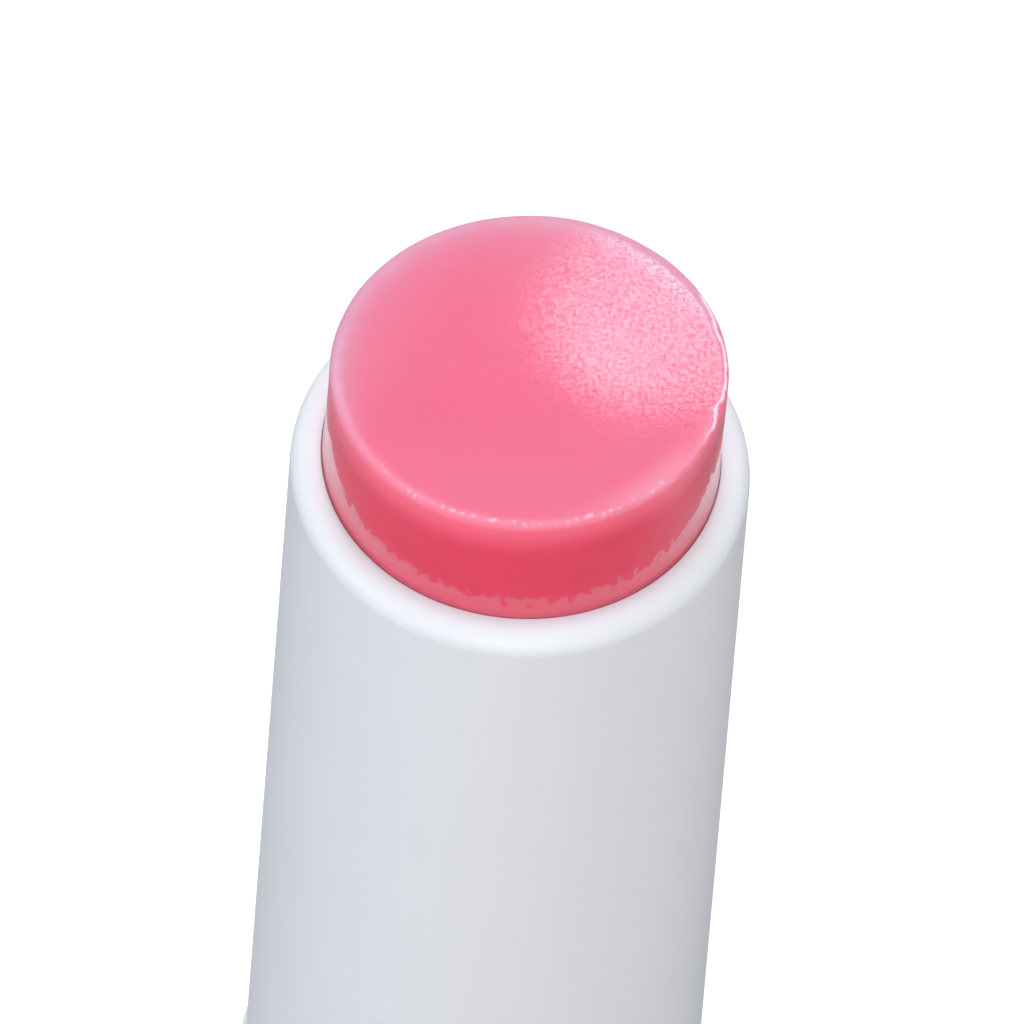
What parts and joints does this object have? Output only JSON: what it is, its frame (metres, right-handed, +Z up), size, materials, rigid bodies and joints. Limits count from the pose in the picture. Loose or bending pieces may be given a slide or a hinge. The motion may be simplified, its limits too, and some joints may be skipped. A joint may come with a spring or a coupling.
{
  "type": "lip balm stick",
  "caption": "Uncapped lip balm stick: white tube with a twist dial and lead screw that winds a cast column of pink balm out of the rim, with its slip-on cap beside it.",
  "frame": {"origin": "on the tube's axis, in the plane that the dial and the cap stand on", "axes": "+Z up the tube's axis from the dial to the balm, +X towards the cap, -Y towards the viewer"},
  "size_m": [0.0436, 0.0166, 0.0672],
  "materials": {
    "tube_white": "satin moulded polypropylene",
    "balm_pink": "waxy, slightly translucent, with a fine orange-peel skin",
    "carrier_white": "moulded polypropylene",
    "screw_white": "moulded polypropylene",
    "dial_white": "satin moulded polypropylene",
    "cap_white": "satin moulded polypropylene"
  },
  "bodies": {
    "tube": {"barrel": "tube_white"},
    "carriage": {"carrier": "carrier_white", "balm": "balm_pink"},
    "dial": {"twist_dial": "dial_white", "lead_screw": "screw_white"},
    "cap": {"cap": "cap_white"}
  },
  "joints": [
    {"name": "dial_turn", "type": "hinge", "parent": "tube", "child": "dial", "pos_m": [0, 0, 0.004], "axis": [0, 0, 1], "range_deg": [-457, 3608]},
    {"name": "balm_rise", "type": "slide", "parent": "tube", "child": "carriage", "axis": [0, 0, 1], "range_m": [-0.0044, 0.03494]},
    {"name": "cap_lift", "type": "slide", "parent": "tube", "child": "cap", "axis": [0, 0, 1], "range_m": [0, 0.06]}
  ],
  "couplings": [
    {"joint": "dial_turn", "follows": "balm_rise", "rad_per_m": 1795.2}
  ]
}
